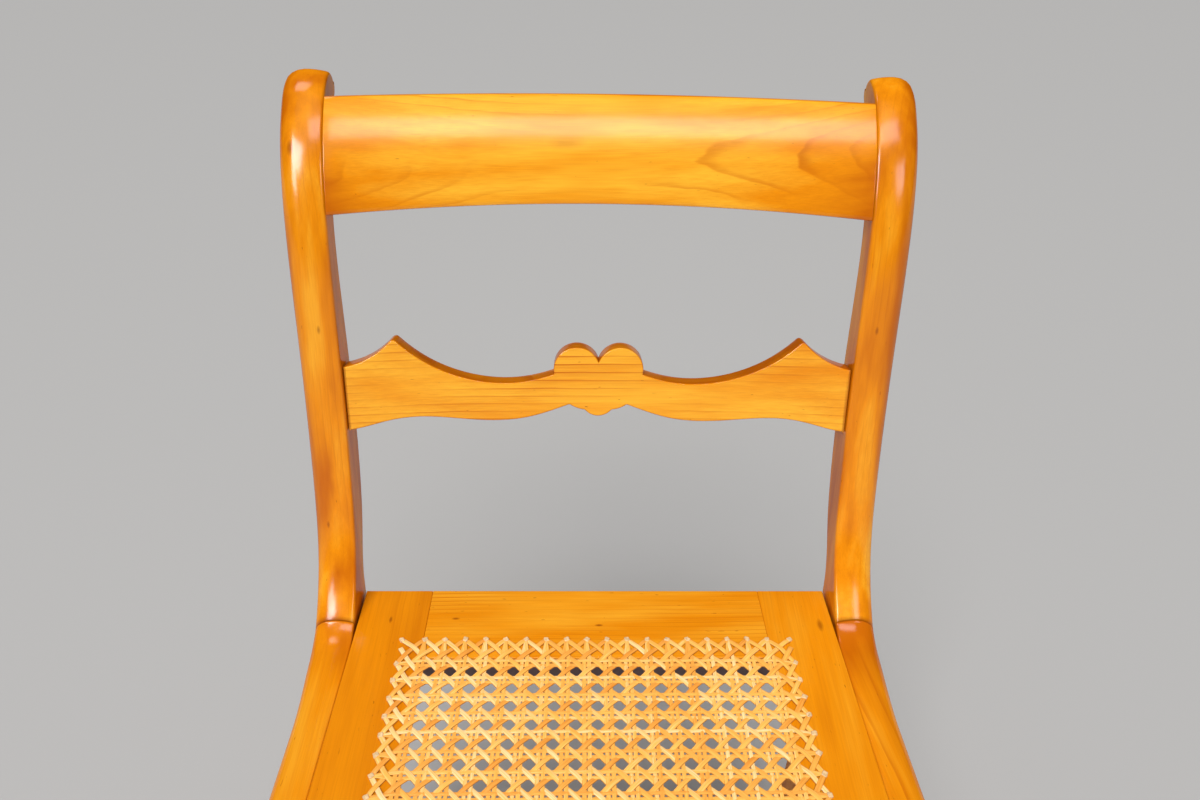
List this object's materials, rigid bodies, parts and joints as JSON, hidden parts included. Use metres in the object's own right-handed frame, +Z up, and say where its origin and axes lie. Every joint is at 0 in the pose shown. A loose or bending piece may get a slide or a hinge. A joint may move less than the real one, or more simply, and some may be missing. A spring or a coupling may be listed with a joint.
{
  "type": "side chair",
  "caption": "Wooden side chair with S-curved back posts, a bowed crest rail, a sawn cross rail with wings and lobes, sabre legs and a caned seat for one person to sit on.",
  "frame": {"origin": "on the floor, under the middle of the chair's overall width and depth", "axes": "+Z up, +X to the right seen from the front, +Y to the back"},
  "size_m": [0.4394, 0.5436, 0.839],
  "materials": {
    "polished_cherry": "glossy shellac polish",
    "seat_frame_cherry": "glossy shellac polish, a little browner",
    "cane": "natural cane, half gloss",
    "cane_peg": "plain pale wood",
    "plain_beech": "plain, no polish",
    "screw_steel": "dull steel"
  },
  "bodies": {
    "root": {"rear_post_right": "polished_cherry", "rear_post_left": "polished_cherry", "crest_rail": "polished_cherry", "mid_rail": "polished_cherry", "side_rail_right": "polished_cherry", "side_rail_left": "polished_cherry", "front_leg_right": "polished_cherry", "front_leg_left": "polished_cherry", "rear_seat_rail": "polished_cherry", "front_seat_rail": "polished_cherry", "seat_frame_right": "seat_frame_cherry", "seat_frame_left": "seat_frame_cherry", "seat_frame_rear": "seat_frame_cherry", "seat_frame_front": "seat_frame_cherry", "cane_panel": "cane", "cane_pegs": "cane_peg", "corner_block_rear_right": "plain_beech", "corner_block_rear_left": "plain_beech", "corner_block_front_right": "plain_beech", "corner_block_front_left": "plain_beech", "seat_screws": "screw_steel"}
  },
  "joints": []
}
